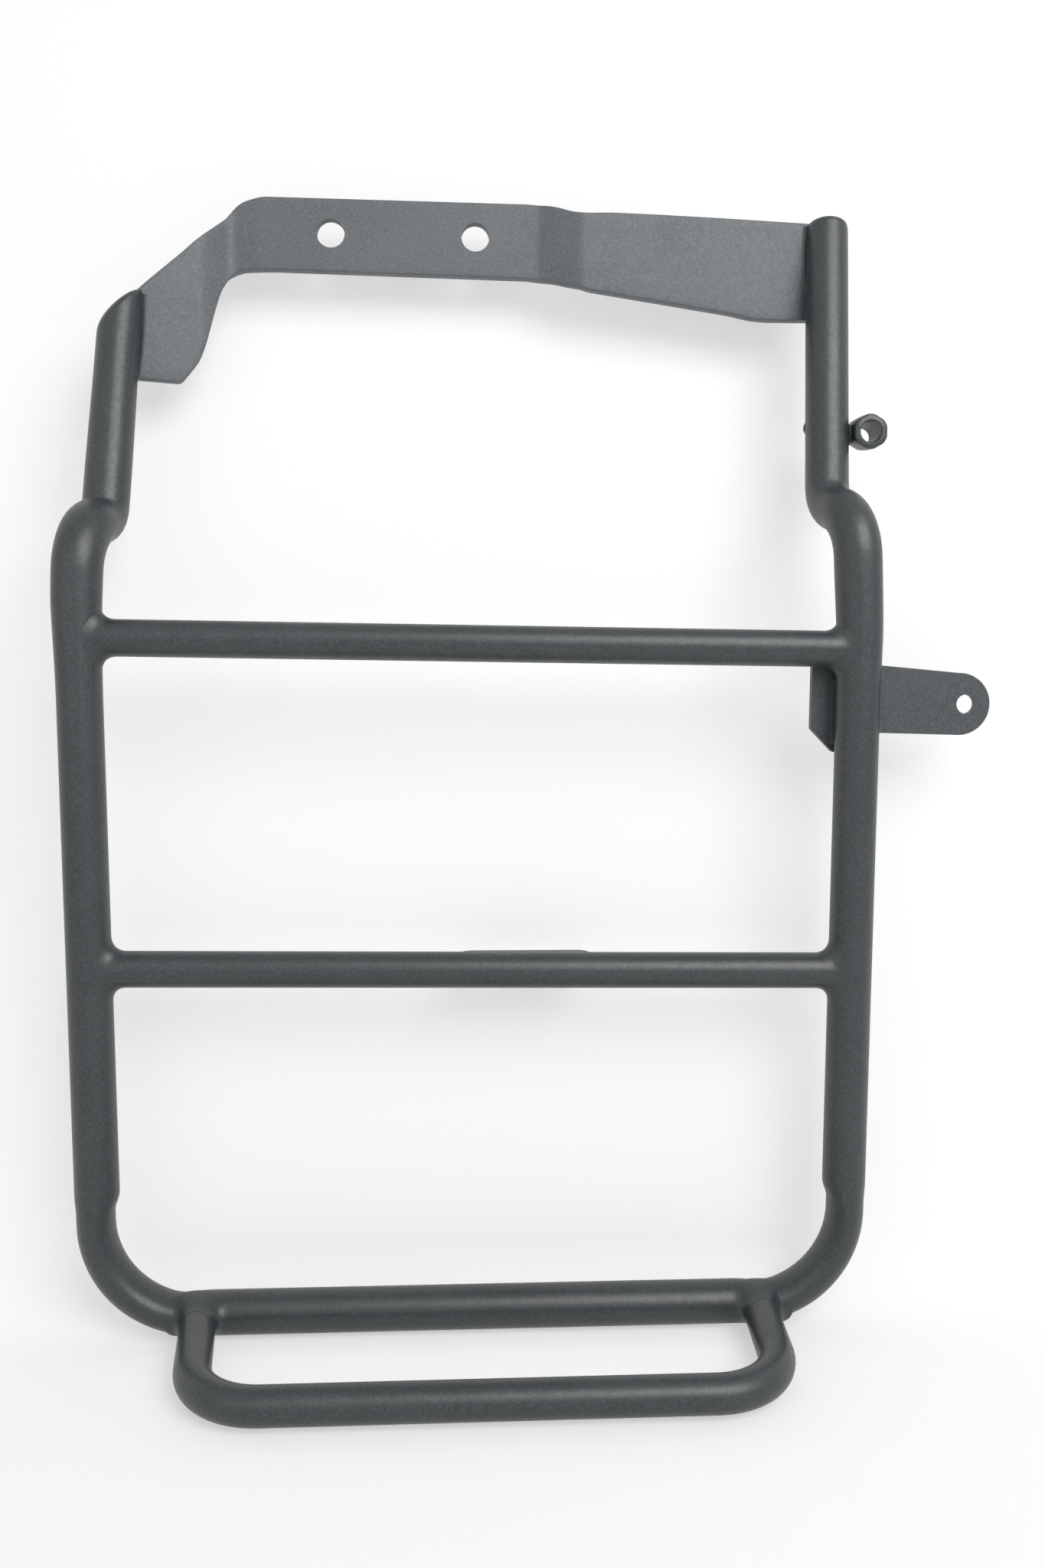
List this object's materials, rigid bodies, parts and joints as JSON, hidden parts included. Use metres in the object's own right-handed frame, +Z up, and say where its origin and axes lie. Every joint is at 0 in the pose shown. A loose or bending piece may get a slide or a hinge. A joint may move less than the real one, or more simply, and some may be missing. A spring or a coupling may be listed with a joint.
{
  "type": "motorbike pannier frame",
  "caption": "Welded tube side rack that holds a pannier beside a motorbike: a joggled hoop with crossbars, a foot loop, a folded bolt-on strap and small fixing tabs.",
  "frame": {"origin": "midway between the two rack bolt holes, on the strap face that meets the bike", "axes": "+X along the bike, to the right seen from outside, +Y towards the bike along the bolts, +Z up"},
  "size_m": [0.344, 0.1267, 0.4303],
  "materials": {
    "powder_coat": "satin black powder coat with a fine grain",
    "weld_coat": "satin black powder coat over weld beads"
  },
  "bodies": {
    "root": {"main_hoop": "powder_coat", "left_end_cap": "powder_coat", "right_end_cap": "powder_coat", "upper_crossbar": "powder_coat", "lower_crossbar": "powder_coat", "foot_loop": "powder_coat", "rack_strap": "powder_coat", "lower_tab": "powder_coat", "standoff": "powder_coat", "crossbar_plate": "powder_coat", "upper_weld_left": "weld_coat", "upper_weld_right": "weld_coat", "lower_weld_left": "weld_coat", "lower_weld_right": "weld_coat", "loop_weld_left": "weld_coat", "loop_weld_right": "weld_coat", "strap_weld_left": "weld_coat", "strap_weld_right": "weld_coat", "strap_back_left": "weld_coat", "strap_back_right": "weld_coat", "plate_weld_top": "weld_coat", "plate_weld_low": "weld_coat", "tab_weld_inner": "weld_coat", "tab_weld_outer": "weld_coat", "standoff_weld": "weld_coat", "weld_mark": "weld_coat"}
  },
  "joints": []
}
